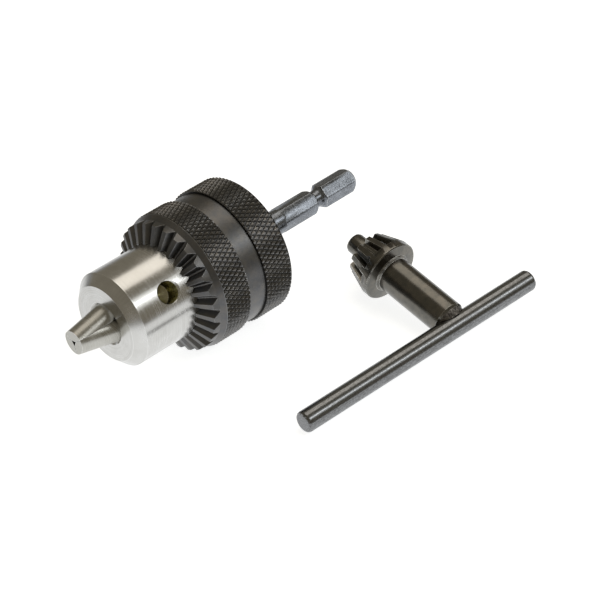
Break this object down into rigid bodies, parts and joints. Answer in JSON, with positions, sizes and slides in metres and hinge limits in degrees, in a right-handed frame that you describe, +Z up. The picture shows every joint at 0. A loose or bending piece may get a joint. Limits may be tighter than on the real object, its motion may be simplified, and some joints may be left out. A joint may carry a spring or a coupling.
{
  "type": "keyed drill chuck",
  "caption": "Keyed three-jaw drill chuck on a hex shank: knurled sleeve with bevel ring gear, closed jaws, and its T-bar chuck key lying beside it.",
  "frame": {"origin": "on the chuck's axis at the free end of the hex shank", "axes": "+Y along the chuck's axis, from the nose towards the free end of the shank; +Z up, away from the table that the sleeve's knurled bands and the key rest on"},
  "size_m": [0.0764, 0.1124, 0.0386],
  "materials": {
    "body_steel": "fine turned, bright",
    "sleeve_black_oxide": "bronze-grey black oxide, diamond knurled",
    "nut_steel": "hardened, oiled",
    "jaw_steel": "ground, satin",
    "shank_steel": "bead-blasted satin",
    "screw_black": "black oxide",
    "key_black_oxide": "gunmetal black oxide",
    "bar_steel": "drawn bar, dark satin",
    "weld_metal": "rough weld, dark"
  },
  "bodies": {
    "chuck": {"chuck_body": "body_steel", "hex_shank_adapter": "shank_steel", "locking_screw": "screw_black"},
    "sleeve_body": {"sleeve": "sleeve_black_oxide", "nut_half_upper": "nut_steel", "nut_half_lower": "nut_steel"},
    "jaw_1": {"jaw_1": "jaw_steel"},
    "jaw_2": {"jaw_2": "jaw_steel"},
    "jaw_3": {"jaw_3": "jaw_steel"},
    "key": {"key_shank": "key_black_oxide", "key_bar": "bar_steel", "key_weld": "weld_metal"}
  },
  "joints": [
    {"name": "sleeve_spin", "type": "hinge", "parent": "chuck", "child": "sleeve_body", "pos_m": [0, -0.0606, 0], "axis": [0, -1, 0], "range_deg": [0, 4567]},
    {"name": "jaw_1_slide", "type": "slide", "parent": "chuck", "child": "jaw_1", "axis": [-0.0339, 0.9763, 0.2138], "range_m": [0, 0.0209]},
    {"name": "jaw_2_slide", "type": "slide", "parent": "chuck", "child": "jaw_2", "axis": [-0.1682, 0.9763, -0.1362], "range_m": [0, 0.0209]},
    {"name": "jaw_3_slide", "type": "slide", "parent": "chuck", "child": "jaw_3", "axis": [0.2021, 0.9763, -0.0776], "range_m": [0, 0.0209]},
    {"name": "key_lift", "type": "slide", "parent": "chuck", "child": "key", "axis": [0, 0, 1], "range_m": [0, 0.06]}
  ],
  "couplings": [
    {"joint": "jaw_1_slide", "follows": "sleeve_spin", "m_per_rad": 0.00026083},
    {"joint": "jaw_2_slide", "follows": "sleeve_spin", "m_per_rad": 0.00026083},
    {"joint": "jaw_3_slide", "follows": "sleeve_spin", "m_per_rad": 0.00026083}
  ]
}
